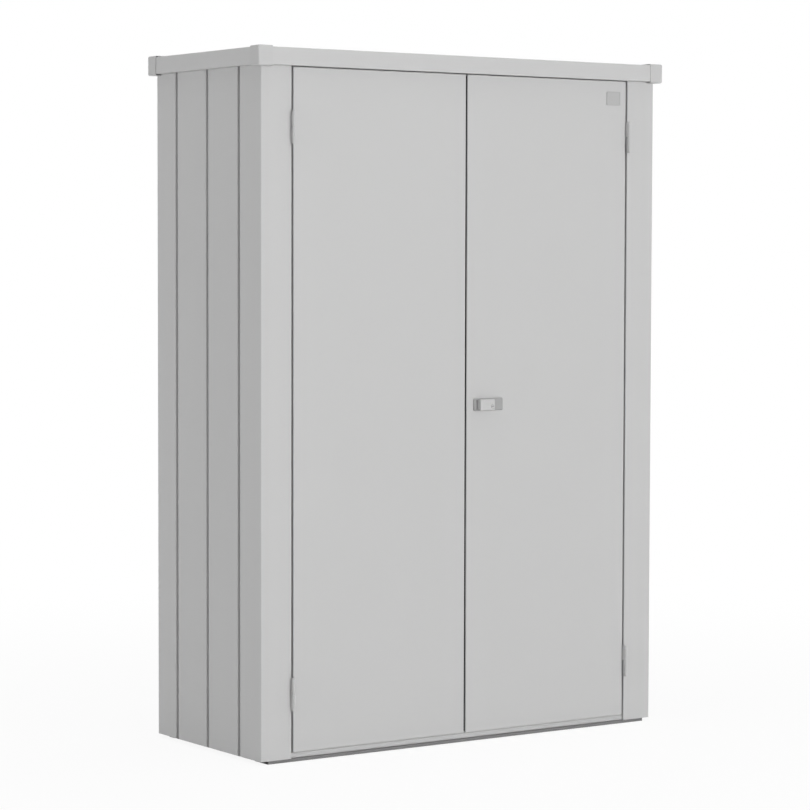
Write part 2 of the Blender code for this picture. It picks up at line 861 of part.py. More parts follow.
def lofted_handle():
    """The grip as rectangles of growing size, from its foot over the waisted neck to the front."""
    sections = [
        (0, handle_foot_width, handle_foot_height),
        (handle_neck_reach, handle_neck_width, handle_neck_height),
        (handle_flare_reach, handle_flare_width, handle_flare_height),
        (handle_grip_start, handle_grip_width, handle_grip_height),
        (handle_reach, handle_grip_width, handle_grip_height),
    ]
    centre = Vector((lock_x, handle_back, lock_height))
    reach, width, height = sections[1]
    half = Vector((width, 0, height)) / 2
    shape = box_shape(centre - half - Vector((0, reach, 0)), centre + half)
    shape.normal_update()
    back = next(face for face in shape.faces if face.normal.y > 0.5)
    face = next(face for face in shape.faces if face.normal.y < -0.5)
    to_centre = Matrix.Translation(-centre)
    bmesh.ops.scale(
        shape, verts=back.verts, space=to_centre,
        vec=(handle_foot_width / width, 1, handle_foot_height / height))
    for next_reach, next_width, next_height in sections[2:]:
        face = bmesh.ops.extrude_discrete_faces(shape, faces=[face])["faces"][0]
        bmesh.ops.scale(
            shape, verts=face.verts, space=to_centre,
            vec=(next_width / width, 1, next_height / height))
        bmesh.ops.translate(shape, verts=face.verts, vec=(0, reach - next_reach, 0))
        reach, width, height = next_reach, next_width, next_height
    return shape


def make_turn_handle():
    """The turn handle: a waisted grip, its square spindle and a bore for the lock cylinder."""
    shape = lofted_handle()
    front_edges = [
        edge for edge in shape.edges
        if min(vert.co.y for vert in edge.verts) < handle_back - handle_grip_start - fit_gap
    ]
    bevel_edges(shape, front_edges, handle_radius, fold_segments)
    piece = add_piece("turn_handle", shape, handle_alloy, (lock_x, handle_back, lock_height))
    smooth_rounds(piece)
    half = spindle_side / 2
    spindle = add_cutter("handle_spindle", box_shape(
        (lock_x - half, handle_back - handle_neck_reach, lock_height - half),
        (lock_x + half, cam_back, lock_height + half)))
    bore_x, bore_z = lock_x + cylinder_offset_x, lock_height - cylinder_drop
    bore = add_cutter("cylinder_bore", round_shape(
        (bore_x, handle_front - cut_overrun, bore_z),
        (bore_x, handle_front + cylinder_length + fit_gap, bore_z), cylinder_radius + cylinder_clearance))
    boolean(piece, spindle, "UNION")
    boolean(piece, bore, "DIFFERENCE")


def make_lock_cylinder():
    """The key cylinder in the grip, with its key slot."""
    x, z = lock_x + cylinder_offset_x, lock_height - cylinder_drop
    shape = round_shape((x, handle_front, z), (x, handle_front + cylinder_length, z), cylinder_radius)
    piece = add_piece("lock_cylinder", shape, lock_steel, (x, handle_front, z))
    smooth_rounds(piece)
    slot = add_cutter("key_slot", box_shape(
        (x - key_slot_width / 2, handle_front - cut_overrun, z - key_slot_height / 2),
        (x + key_slot_width / 2, handle_front + key_slot_depth, z + key_slot_height / 2)))
    boolean(piece, slot, "DIFFERENCE")


def crank_pin_place(opposite):
    """Where a crank pin stands at rest: right of the axis and low, or opposite."""
    angle = math.radians(crank_start_deg) + (half_turn if opposite else 0)
    return lock_x + crank_radius * math.cos(angle), lock_height + crank_radius * math.sin(angle)


def make_crank():
    """The crank disc on the spindle, with two pins that drive the rods."""
    shape = round_shape(
        (lock_x, cam_front, lock_height), (lock_x, cam_back, lock_height), cam_radius)
    piece = add_piece("lock_crank", shape, lock_steel, (lock_x, cam_front, lock_height))
    smooth_rounds(piece)
    for name, opposite in (("upper", False), ("lower", True)):
        x, z = crank_pin_place(opposite)
        pin = add_cutter(f"crank_{name}_pin", round_shape(
            (x, cam_front + cam_thickness / 2, z), (x, cam_back + crank_pin_length, z), crank_pin_radius))
        boolean(piece, pin, "UNION")
    half_hole = spindle_side / 2 + spindle_clearance
    hole = add_cutter("crank_square_hole", box_shape(
        (lock_x - half_hole, cam_front - cut_overrun, lock_height - half_hole),
        (lock_x + half_hole, cam_back + cut_overrun, lock_height + half_hole)))
    boolean(piece, hole, "DIFFERENCE")


def make_rod(name, tip_z, foot_side, opposite):
    """A flat locking rod from its tip to its wider foot, which has a cross slot for the crank pin."""
    x = rod_places[name]
    foot_z = lock_height - foot_side * rod_foot_reach
    neck_z = lock_height + foot_side * rod_foot_reach
    back = rod_front + rod_thickness
    shape = box_shape(
        (x - rod_width / 2, rod_front, min(tip_z, foot_z)), (x + rod_width / 2, back, max(tip_z, foot_z)))
    piece = add_piece(f"{name}_rod", shape, lock_steel)
    pin_z = crank_pin_place(opposite)[1]
    foot = add_cutter(f"{name}_rod_foot", box_shape(
        (x - rod_foot_width / 2, rod_front, min(neck_z, foot_z)),
        (x + rod_foot_width / 2, back, max(neck_z, foot_z))))
    slot = add_cutter(f"{name}_rod_pin_slot", box_shape(
        (x - rod_slot_half_width, rod_front - cut_overrun, pin_z - rod_slot_half_height),
        (x + rod_slot_half_width, back + cut_overrun, pin_z + rod_slot_half_height)))
    boolean(piece, foot, "UNION")
    boolean(piece, slot, "DIFFERENCE")


def make_rods():
    """The upper and lower locking rods, drawn back inside the door."""
    make_rod("upper", door_top - rod_tip_setback, 1, False)
    make_rod("lower", door_bottom + rod_tip_setback, -1, True)


def make_guide(name, middle_x, middle_z, outer, hole):
    """A moulded guide block on the door skin, with a rectangular hole for a rod or bolt."""
    half_width, half_height = outer[0] / 2, outer[1] / 2
    half_hole, hole_low, hole_high = hole
    back = door_skin_back + fit_gap
    shape = box_shape(
        (middle_x - half_width, back, middle_z - half_height),
        (middle_x + half_width, back + rod_guide_depth, middle_z + half_height))
    piece = add_piece(name, shape, guide_plastic)
    window = add_cutter(name + "_hole", box_shape(
        (middle_x - half_hole, hole_low, middle_z - half_height - cut_overrun),
        (middle_x + half_hole, hole_high, middle_z + half_height + cut_overrun)))
    boolean(piece, window, "DIFFERENCE")


def make_rod_guides():
    """One guide near the end of each locking rod."""
    hole = (rod_width / 2 + guide_clearance, rod_front - guide_clearance,
            rod_front + rod_thickness + guide_clearance)
    size = (rod_guide_width, rod_guide_height)
    make_guide("upper_rod_guide", rod_places["upper"], door_top - rod_guide_from_end, size, hole)
    make_guide("lower_rod_guide", rod_places["lower"], door_bottom + rod_guide_from_end, size, hole)


def make_bolt(name, end_z, inward):
    """A slide bolt of the left door, with a finger knob, drawn back inside the door."""
    x = -bolt_side_offset
    front = front_plane + bolt_setback
    near = end_z + inward * rod_tip_setback
    far = near + inward * bolt_length
    shape = box_shape(
        (x - bolt_width / 2, front, min(near, far)),
        (x + bolt_width / 2, front + bolt_thickness, max(near, far)))
    piece = add_piece(f"{name}_bolt", shape, lock_steel)
    knob_z = end_z + inward * bolt_knob_from_end
    knob = add_cutter(f"{name}_bolt_knob", round_shape(
        (x, front + bolt_thickness / 2, knob_z),
        (x, front + bolt_thickness + bolt_knob_length, knob_z), bolt_knob_radius))
    boolean(piece, knob, "UNION")


def make_bolts():
    """Top and bottom slide bolts with their guides."""
    front = front_plane + bolt_setback
    hole = (bolt_width / 2 + guide_clearance, front - guide_clearance,
            front + bolt_thickness + guide_clearance)
    size = (bolt_guide_width, bolt_guide_height)
    for name, end_z, inward in (("top", door_top, -1), ("bottom", door_bottom, 1)):
        make_bolt(name, end_z, inward)
        make_guide(f"{name}_bolt_guide", -bolt_side_offset, end_z + inward * bolt_guide_from_end, size, hole)


def make_doors():
    """Both doors with their stiffeners and openings."""
    cut_left_door(make_door_pan("left", -1))
    cut_right_door(make_door_pan("right", 1))
    make_stiffener("left", -1)
    make_stiffener("right", 1)


def make_frame_rails():
    """The sill and head rail, slotted for the rod and the bolt."""
    reach = cut_overrun / 2
    cut_bolt_slots(make_sill(), ground_gap - reach, sill_tread + reach, "sill", "lower")
    cut_bolt_slots(make_head_rail(), head_flange - reach, head_flange + reach, "head_rail", "upper")


def make_lock():
    """The handle, the lock and its rods on the right door."""
    make_handle_plate()
    make_turn_handle()
    make_lock_cylinder()
    make_crank()
    make_rods()
    make_rod_guides()


def make_cabinet():
    """The whole cabinet."""
    make_base_frame()
    make_floor()
    make_posts()
    make_side_panels()
    make_rear_panels()
    make_frame_rails()
    make_roof()
    make_fascias()
    make_corner_caps()
    make_shelves()
    make_doors()
    make_hinges()
    make_lock()
    make_bolts()


make_cabinet()
print(len(cabinet.objects), "pieces")
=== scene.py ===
# %% [markdown]
# A garden cabinet in silver-grey sheet steel
#
# This lesson dresses the finished model of a garden cabinet: walls folded from painted sheet, a flat roof
# with corner caps, two doors on lift-off hinges, and a turn handle that drives two locking rods. The model's
# pieces keep their places. Paint, zinc, rubber and small fittings are added to them, and then light and a
# camera. Everything is in metres. The doors face -Y, and +Z is up.

# %% Load the cabinet
import math

import json

import bmesh
import bpy
from mathutils import Matrix, Vector

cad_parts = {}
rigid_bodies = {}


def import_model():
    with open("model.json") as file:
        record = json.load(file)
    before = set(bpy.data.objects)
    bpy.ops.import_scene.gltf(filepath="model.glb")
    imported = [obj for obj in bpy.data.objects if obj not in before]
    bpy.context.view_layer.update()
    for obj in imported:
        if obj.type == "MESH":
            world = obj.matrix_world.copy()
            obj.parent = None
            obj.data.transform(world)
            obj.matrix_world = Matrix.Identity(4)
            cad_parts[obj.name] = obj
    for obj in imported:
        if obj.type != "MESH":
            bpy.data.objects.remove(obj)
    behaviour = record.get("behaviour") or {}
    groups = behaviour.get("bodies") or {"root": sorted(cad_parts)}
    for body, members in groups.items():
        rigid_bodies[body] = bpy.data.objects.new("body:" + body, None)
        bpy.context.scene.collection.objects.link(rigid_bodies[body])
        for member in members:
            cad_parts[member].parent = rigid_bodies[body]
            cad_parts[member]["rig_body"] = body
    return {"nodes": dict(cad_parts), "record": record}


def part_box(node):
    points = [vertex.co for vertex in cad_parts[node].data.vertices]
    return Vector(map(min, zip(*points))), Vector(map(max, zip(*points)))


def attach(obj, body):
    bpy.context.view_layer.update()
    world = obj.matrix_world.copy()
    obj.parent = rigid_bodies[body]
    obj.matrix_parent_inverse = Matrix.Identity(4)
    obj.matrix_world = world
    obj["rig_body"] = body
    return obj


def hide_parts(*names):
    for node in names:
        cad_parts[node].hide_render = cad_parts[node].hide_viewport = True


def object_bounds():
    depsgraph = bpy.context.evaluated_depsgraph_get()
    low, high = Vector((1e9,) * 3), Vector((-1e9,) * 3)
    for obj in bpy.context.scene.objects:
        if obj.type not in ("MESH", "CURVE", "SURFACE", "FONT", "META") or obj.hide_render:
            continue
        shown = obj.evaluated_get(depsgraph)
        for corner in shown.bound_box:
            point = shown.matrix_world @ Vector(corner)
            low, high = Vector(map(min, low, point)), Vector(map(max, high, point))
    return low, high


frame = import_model()
cad_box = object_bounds()
nodes = frame["nodes"]
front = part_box("left_door_panel")[0].y
cad_size = [round(extent, 3) for extent in cad_box[1] - cad_box[0]]
print(f"{len(nodes)} pieces, the doors' front at y = {front:.4f}, size {cad_size}")

# %% [markdown]
# Shader maths is easier to read as a formula than as a row of Math nodes. The class below wraps one output
# socket of a node and overloads the operators, so that `1 - mask` or `wave * 0.2 + 0.4` adds the Math nodes
# it needs.

# %% A socket that can be calculated with
class Signal:
    """One output socket of a material, usable in a formula."""

    def __init__(self, finish, socket):
        self.finish = finish
        self.socket = socket

    def maths(self, operation, first, second):
        """The result of one Math node."""
        node = self.finish.node("ShaderNodeMath", {"operation": operation}, {0: first, 1: second})
        return self.finish.signal(node, 0)

    def __add__(self, other):
        return self.maths("ADD", self, other)

    def __sub__(self, other):
        return self.maths("SUBTRACT", self, other)

    def __rsub__(self, other):
        return self.maths("SUBTRACT", other, self)

    def __mul__(self, other):
        return self.maths("MULTIPLY", self, other)

    def __pow__(self, other):
        return self.maths("POWER", self, other)

    def __gt__(self, other):
        return self.maths("GREATER_THAN", self, other)

    def __lt__(self, other):
        return self.maths("LESS_THAN", self, other)

    def facing(self, aim):
        """How far a direction points towards an aim: 1 straight at it, 0 from its side round to its back."""
        node = self.finish.node("ShaderNodeVectorMath", {"operation": "DOT_PRODUCT"}, {0: self, 1: aim})
        likeness = self.finish.signal(node, "Value")
        return self.maths("MAXIMUM", likeness, 0.0)

    __radd__ = __add__
    __rmul__ = __mul__


# %% [markdown]
# A finish is a material with one Principled BSDF. Every other node comes from one method, which takes the
# node's type, its settings and what goes into its sockets. Patterns are given by how many of their marks go
# to a metre, because every finish reads Object coordinates and every piece's own axes are the cabinet's.

# %% A finish
def grey(value, warmth=0.0):
    """A nearly neutral colour of one linear brightness."""
    return (value + warmth, value, value - warmth, 1.0)


def between(low, high, pattern):
    """A value that follows a pattern: low where the pattern is 0, high where it is 1."""
    return low + pattern * (high - low)


class Finish:
    """A material that is built from formulas."""

    def __init__(self, name, colour, roughness, metallic=0.0):
        self.material = bpy.data.materials.new(name)
        self.material.use_nodes = True
        self.tree = self.material.node_tree
        self.shader = self.tree.nodes["Principled BSDF"]
        self.feed(self.shader, {"Base Color": colour, "Roughness": roughness, "Metallic": metallic})
        self.material.diffuse_color = colour
        self.place = self.signal(self.node("ShaderNodeTexCoord", {}, {}), "Object")

    def signal(self, node, output):
        """One output of a node, ready for a formula."""
        return Signal(self, node.outputs[output])

    def feed(self, node, inputs):
        """Link signals to a node's inputs, and set plain values on them."""
        for name, value in inputs.items():
            if isinstance(value, Signal):
                self.tree.links.new(value.socket, node.inputs[name])
            else:
                node.inputs[name].default_value = value

    def node(self, kind, settings, inputs):
        """Any node, with its settings made first and its inputs fed after."""
        node = self.tree.nodes.new(kind)
        for name, value in settings.items():
            setattr(node, name, value)
        self.feed(node, inputs)
        return node

    def noise(self, per_metre, detail=2.0):
        """Soft random patches, about so many to a metre."""
        node = self.node(
            "ShaderNodeTexNoise", {}, {"Vector": self.place, "Scale": per_metre, "Detail": detail})
        return self.signal(node, 0)

    def blend(self, share, first, second):
        """A colour from the first, at a share of 0, to the second, at 1."""
        node = self.node(
            "ShaderNodeMix", {"data_type": "RGBA"}, {"Factor": share, "A": first, "B": second})
        return self.signal(node, 2)

    def tones(self, share, brightness, darkest, palest):
        """Greys between two multiples of a brightness."""
        return self.blend(share, grey(brightness * darkest), grey(brightness * palest))

    def bumped(self, height, depth):
        """Raise the surface where a pattern is high, by a depth in metres."""
        node = self.node("ShaderNodeBump", {}, {"Height": height, "Distance": depth, "Strength": 1.0})
        self.feed(self.shader, {"Normal": self.signal(node, "Normal")})


print("finish helpers ready")

# %% [markdown]
# The walls, doors and roof are steel sheet with a baked silver-grey coat. Up close such a coat has a very
# fine orange-peel surface and a few paler and darker flakes; from a step away it is an even satin grey. So
# the colour varies by only a few hundredths, and the bump is a few hundredths of a millimetre deep.

# %% Painted sheet
paint_grey = 0.54
clouds_per_metre = 6.0
flakes_per_metre = 900.0
gloss_patches_per_metre = 40.0
peel_per_metre = 700.0
cloud_strength, flake_strength = 0.7, 0.9
dark_flakes_below, pale_flakes_above = 0.30, 0.68
gloss_swing = 0.03


def painted(name, brightness, roughness=0.42, peel=0.00002):
    """A satin baked coat with fine flakes."""
    finish = Finish(name, grey(brightness), roughness)
    clouds = finish.noise(clouds_per_metre) * cloud_strength
    flakes = finish.noise(flakes_per_metre, detail=1.0)
    pale_flakes = (flakes > pale_flakes_above) * flake_strength
    dark_flakes = (flakes < dark_flakes_below) * flake_strength
    speckle = clouds + pale_flakes - dark_flakes
    gloss = finish.noise(gloss_patches_per_metre)
    finish.feed(finish.shader, {
        "Base Color": finish.tones(speckle, brightness, darkest=0.985, palest=1.015),
        "Roughness": between(roughness - gloss_swing, roughness + gloss_swing, gloss),
    })
    finish.bumped(finish.noise(peel_per_metre), peel)
    return finish


sheet_paint = painted("silver_sheet_paint", paint_grey)
cap_coat = painted("moulded_cap_coat", paint_grey * 0.98, roughness=0.5, peel=0.00003)
handle_coat = painted("cast_handle_coat", paint_grey * 0.99, roughness=0.36, peel=0.00003)
hinge_coat = painted("hinge_coat", paint_grey * 0.98, roughness=0.40)
base_plate_coat = painted("cast_base_plate_coat", paint_grey * 0.66, roughness=0.40, peel=0.00003)
badge_coat = painted("bare_plate_coat", paint_grey * 0.82, roughness=0.38)
print("paint:", paint_grey)

# %% [markdown]
# Shelves, floor and stiffeners are left in bare zinc. Hot-dip zinc freezes in flat crystals, the spangle,
# which differ a little in brightness and gloss. Voronoi cells give the crystals, and each cell's own random
# colour sets how bright and how rough it is.

# %% Bare zinc
crystals_per_metre = 85.0
smoothest_crystal, roughest_crystal = 0.34, 0.52


def spangled(name, brightness):
    """Hot-dip zinc with crystals a centimetre or two across."""
    finish = Finish(name, grey(brightness), roughness=0.42, metallic=0.75)
    cells = finish.node("ShaderNodeTexVoronoi", {}, {"Vector": finish.place, "Scale": crystals_per_metre})
    lot = finish.node("ShaderNodeSeparateColor", {}, {"Color": finish.signal(cells, "Color")})
    finish.feed(finish.shader, {
        "Base Color": finish.tones(finish.signal(lot, "Red"), brightness, darkest=0.86, palest=1.12),
        "Roughness": between(smoothest_crystal, roughest_crystal, finish.signal(lot, "Green")),
    })
    return finish


zinc = spangled("spangled_zinc", 0.46)
print("zinc crystals per metre:", crystals_per_metre)

# %% [markdown]
# Steel parts of the lock and the screws have a bright plate of zinc, and the key cylinder has one of nickel,
# both a little uneven in gloss. Mouldings, seals and the base coat are dull, with a fine grain that changes
# their tone and gloss a little and stands up by a few hundredths of a millimetre. The base coat's dark grey
# is partly the base frame's own colour and partly painted shade for the shadowed gap under the cabinet's
# front.

# %% Plated steel, mouldings, rubber and the dark base
plate_patches_per_metre = 300.0
smoother_patch, rougher_patch = 0.04, 0.06
grain_swing = 0.05


def plated(name, brightness, roughness=0.30):
    """A bright plate on a small metal part."""
    finish = Finish(name, grey(brightness, warmth=0.004), roughness, metallic=0.95)
    patches = finish.noise(plate_patches_per_metre)
    uneven = between(roughness - smoother_patch, roughness + rougher_patch, patches)
    finish.feed(finish.shader, {"Roughness": uneven})
    return finish


def matt(name, brightness, roughness, grain_per_metre, depth):
    """A dull surface with a fine grain."""
    finish = Finish(name, grey(brightness), roughness)
    grain = finish.noise(grain_per_metre)
    finish.feed(finish.shader, {
        "Base Color": finish.tones(grain, brightness, darkest=0.85, palest=1.15),
        "Roughness": between(roughness - grain_swing, roughness + grain_swing, grain),
    })
    finish.bumped(grain, depth)
    return finish


plate_steel = plated("zinc_plated_steel", 0.44)
cylinder_nickel = plated("cylinder_nickel", 0.50, roughness=0.24)
# Painted shade: this dark grey is partly the base frame's colour and partly the shadow under the front edge.
dark_base_and_shade = matt("dark_base_coat_and_shade", 0.19, roughness=0.6, grain_per_metre=400.0, depth=0.00005)
guide_black = matt("guide_moulding", 0.03, roughness=0.5, grain_per_metre=900.0, depth=0.00003)
rubber = matt("door_seal_rubber", 0.02, roughness=0.75, grain_per_metre=1500.0, depth=0.00002)
# Painted light: this pale finish is for the strip that covers the shaded gap under the doors.
vinyl = matt("threshold_vinyl_painted_light", 0.56, roughness=0.5, grain_per_metre=1500.0, depth=0.00002)
print("finishes:", len(bpy.data.materials))

# %% [markdown]
# The model's meshes are loose triangles. A copy with its corners merged can be shaded smooth across the
# rounded folds, while the broad faces stay flat: edges sharper than 40 degrees are marked sharp, and a
# Weighted Normal modifier lets the big faces set the shading. The copy stands for its piece and rides on the
# same body.

# %% Smooth copies of the pieces
finish_of_slot = {
    "painted_sheet": sheet_paint,
    "galvanised_sheet": zinc,
    "cap_plastic": cap_coat,
    "dark_base": dark_base_and_shade,
    "hinge_steel": hinge_coat,
    "handle_alloy": handle_coat,
    "lock_steel": plate_steel,
    "guide_plastic": guide_black,
}
slot_of = {entry["node"]: entry["material_slot"] for entry in frame["record"]["subparts"]}
finish_of = {name: finish_of_slot[slot] for name, slot in slot_of.items()}
finish_of["handle_plate"] = base_plate_coat
finish_of["lock_cylinder"] = cylinder_nickel
body_of = {name: node["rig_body"] for name, node in nodes.items()}
merge_distance = 0.00001


def new_object(name, shape, finish, body):
    """A finished piece from a bmesh that is already in place."""
    mesh = bpy.data.meshes.new(name)
    shape.to_mesh(mesh)
    shape.free()
    piece = bpy.data.objects.new(name, mesh)
    bpy.context.scene.collection.objects.link(piece)
    mesh.materials.clear()
    mesh.materials.append(finish.material)
    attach(piece, body)
    return piece


def shade_folds(piece, limit_deg=40.0):
    """Smooth shading over rounds, sharp edges at corners, flat broad faces."""
    piece.data.shade_smooth()
    piece.data.set_sharp_from_angle(angle=math.radians(limit_deg))
    flats = piece.modifiers.new("flat_faces", "WEIGHTED_NORMAL")
    flats.keep_sharp = True
    flats.weight = 100


def merged_mesh(node):
    """A bmesh of a piece of the model with its corners merged."""
    shape = bmesh.new()
    shape.from_mesh(nodes[node].data)
    bmesh.ops.remove_doubles(shape, verts=shape.verts, dist=merge_distance)
    return shape


def smooth_copy(node):
    """A merged, smooth-shaded stand-in for one piece of the model."""
    copy = new_object(node + "_look", merged_mesh(node), finish_of[node], body_of[node])
    stale = copy.data.attributes.get("custom_normal")
    if stale:
        copy.data.attributes.remove(stale)
    shade_folds(copy)
    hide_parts(node)
    return copy


for name, node in nodes.items():
    node.data.materials.clear()
    node.data.materials.append(finish_of[name].material)

looks = {name: smooth_copy(name) for name in nodes}
print("smooth copies:", len(looks))

# %% [markdown]
# The key cylinder has a real slot for its key, but its steel walls would render light. The faces inside the
# slot get the black moulding finish as a second material: painted shade that makes the slot look dark.

# %% The key slot
slot_half_length, slot_half_width = 0.0039, 0.0008
face_depth = 0.0002
cylinder_low, cylinder_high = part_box("lock_cylinder")
cylinder_axis = (cylinder_low + cylinder_high) / 2


def in_slot(face):
    """Whether a face lies inside the key slot."""
    offset = face.center - cylinder_axis
    behind_front = face.center.y > cylinder_low.y + face_depth
    return behind_front and abs(offset.x) < slot_half_length and abs(offset.z) < slot_half_width


cylinder_mesh = looks["lock_cylinder"].data
# Painted shade: the faces inside the key slot are given the black finish.
cylinder_mesh.materials.append(guide_black.material)
slot_shade_index = len(cylinder_mesh.materials) - 1
shaded_slot_faces = [face for face in cylinder_mesh.polygons if in_slot(face)]
for face in shaded_slot_faces:
    face.material_index = slot_shade_index
print("key slot:", len(shaded_slot_faces), "dark faces")

# %% [markdown]
# The leaf of each hinge half is rolled round its pin, and the root of the roll fills the space behind the
# knuckle. Seen from the side, that root makes the hinge look like one solid bar. It is a narrow block with
# rounded upright edges. A door's own roots stop short of the post, so that they clear it while the door
# swings.

# %% Hinge roots
hinge_radius = 0.0045
root_half_width = 0.0028
root_ends = 0.0012
root_rounding = 0.0005
frame_root_gap = 0.0003
door_root_reach = 0.0092
halves_gap = 0.0006


def box_mesh(low, high):
    """A box between two corners."""
    low, high = Vector(low), Vector(high)
    shape = bmesh.new()
    bmesh.ops.create_cube(shape, size=1.0)
    bmesh.ops.scale(shape, verts=shape.verts, vec=high - low)
    bmesh.ops.translate(shape, verts=shape.verts, vec=(low + high) / 2)
    return shape


def edges_along(shape, axis, least):
    """The edges that run more than a least length along one axis: 0, 1 or 2 for X, Y or Z."""
    return [edge for edge in shape.edges if abs((edge.verts[0].co - edge.verts[1].co)[axis]) > least]


def round_edges(shape, edges, width, segments):
    """Round some edges of a bmesh."""
    bmesh.ops.bevel(
        shape, geom=edges, offset=width, offset_type="OFFSET", segments=segments, profile=0.5,
        affect="EDGES", material=-1)


def hinge_root(side, place, half, low_z, high_z, axis, reach):
    """The rolled root behind one knuckle, from its axis back towards the sheet."""
    block = box_mesh((axis.x - root_half_width, axis.y, low_z + root_ends),
                     (axis.x + root_half_width, axis.y + reach, high_z - root_ends))
    round_edges(block, edges_along(block, 2, root_half_width), root_rounding, 2)
    body = "cabinet" if half == "frame" else side + "_door"
    root = new_object(f"{side}_{place}_hinge_{half}_root", block, hinge_coat, body)
    shade_folds(root, limit_deg=50.0)


for side in ("left", "right"):
    for place in ("upper", "lower"):
        frame_low, frame_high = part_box(f"{side}_{place}_hinge_frame_half")
        door_half_low, door_half_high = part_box(f"{side}_{place}_hinge_door_half")
        axis = Vector(((frame_low.x + frame_high.x) / 2, frame_low.y + hinge_radius, 0))
        hinge_root(side, place, "frame", frame_low.z, door_half_low.z - halves_gap, axis,
                   front - frame_root_gap - axis.y)
        hinge_root(side, place, "door", door_half_low.z, door_half_high.z, axis, door_root_reach)
print("last hinge's axis at", [round(v, 4) for v in axis[:2]])

# %% [markdown]
# High on the right door sits a small plate. Here it stays bare: a thin rounded rectangle with a shallow rim.
# A cube is flattened, its corners are rounded by a bevel, and the front face is inset and pressed back a
# little.

# %% The bare plate on the right door
plate_left, plate_right = 0.476, 0.523
plate_low, plate_high = 1.724, 1.762
plate_thickness = 0.0016
plate_gap = 0.0001
corner_rounding = 0.003
rim_width = 0.0022
rim_step = 0.0004

plate_back = front - plate_gap
bare_plate = box_mesh((plate_left, plate_back - plate_thickness, plate_low),
                      (plate_right, plate_back, plate_high))
bare_plate.normal_update()
round_edges(bare_plate, edges_along(bare_plate, 1, plate_thickness / 2), corner_rounding, 4)
bare_plate.normal_update()
plate_face = min(bare_plate.faces, key=lambda item: item.normal.y)
bmesh.ops.inset_region(bare_plate, faces=[plate_face], thickness=rim_width, use_even_offset=True)
bmesh.ops.inset_region(
    bare_plate, faces=[plate_face], thickness=rim_step, depth=-rim_step, use_even_offset=True)
badge = new_object("bare_plate", bare_plate, badge_coat, "right_door")
shade_folds(badge, limit_deg=30.0)
print("bare plate:", round(plate_right - plate_left, 3), "by", round(plate_high - plate_low, 3))

# %% [markdown]
# Rubber seals lie between the doors and their stops, one along the head rail and one along the sill. A third
# runs up the right door's edge where the doors meet. Its black rubber is also painted shade: it makes the
# gap between the doors look darker than the gaps beside the hinges. A pale vinyl strip on the sill's tread
# closes the gap under the doors and is painted light: its pale face stands where the gap's shade would show
# a dark line. Each is a soft strip, so its long edges are rounded.

# %% Door seals
sill_low, sill_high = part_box("sill")
head_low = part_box("head_rail")[0]
door_low, door_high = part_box("right_door_panel")
seal_half_width = 0.54
seal_rounding = 0.0004
stop_depth = 0.025
door_side_gap, stop_side_gap = 0.0004, 0.0002
sill_seal_drop, sill_seal_top_drop = 0.017, 0.009
head_seal_rise, head_seal_top_rise = 0.022, 0.031
seal_gap = 0.0001


def seal_strip(name, low, high, body, finish=rubber):
    """A soft strip between two corners, with its long edges rounded."""
    strip = box_mesh(low, high)
    length = max(Vector(high) - Vector(low))
    long_edges = [edge for edge in strip.edges if edge.calc_length() > length / 2]
    round_edges(strip, long_edges, seal_rounding, 2)
    piece = new_object(name, strip, finish, body)
    shade_folds(piece, limit_deg=50.0)
    return piece


def stop_seal(name, low_z, high_z):
    """A seal on a door stop, a hair clear of the closed doors."""
    low = (-seal_half_width, door_high.y + door_side_gap, low_z)
    high = (seal_half_width, front + stop_depth - stop_side_gap, high_z)
    return seal_strip(name, low, high, "cabinet")


stop_seals = [
    stop_seal("sill_seal", sill_high.z - sill_seal_drop, sill_high.z - sill_seal_top_drop),
    stop_seal("head_seal", head_low.z + head_seal_rise, head_low.z + head_seal_top_rise),
]
print("stop seals:", len(stop_seals))

# %% Seal where the doors meet, and the strip under them
meeting_width = 0.0013
meeting_front, meeting_back = 0.0035, 0.018
meeting_ends = 0.004
strip_front, strip_back = 0.0002, 0.0014
door_floor_gap = 0.0018
strip_top_gap = 0.0002

# Painted shade: the meeting seal's black rubber darkens the gap between the doors.
meeting_seal_and_shade = seal_strip(
    "meeting_seal_and_shade",
    (door_low.x - meeting_width, front + meeting_front, door_low.z + meeting_ends),
    (door_low.x - seal_gap, front + meeting_back, door_high.z - meeting_ends), "right_door")
# Painted light: the threshold strip's pale vinyl covers the shade of the gap under the doors.
threshold_strip_painted_light = seal_strip(
    "threshold_strip_painted_light",
    (-seal_half_width, sill_low.y + strip_front, door_low.z - door_floor_gap + seal_gap),
    (seal_half_width, sill_low.y + strip_back, door_low.z - strip_top_gap), "cabinet", vinyl)
print("meeting seal and strip:", meeting_seal_and_shade.name, threshold_strip_painted_light.name)

# %% [markdown]
# Self-tapping screws hold the wall seams from the inside. A pan head is a low cone with a flat crown here,
# and the recess for the driver is inset in the crown and pressed in. That is a few dozen faces for each
# head, which is enough for something seven millimetres across.

# %% Screws
screw_radius, screw_height = 0.0035, 0.0022
screw_sides = 20
crown_share = 0.72
recess_rim_share, recess_wall_share = 0.30, 0.08
recess_depth_share = 0.35


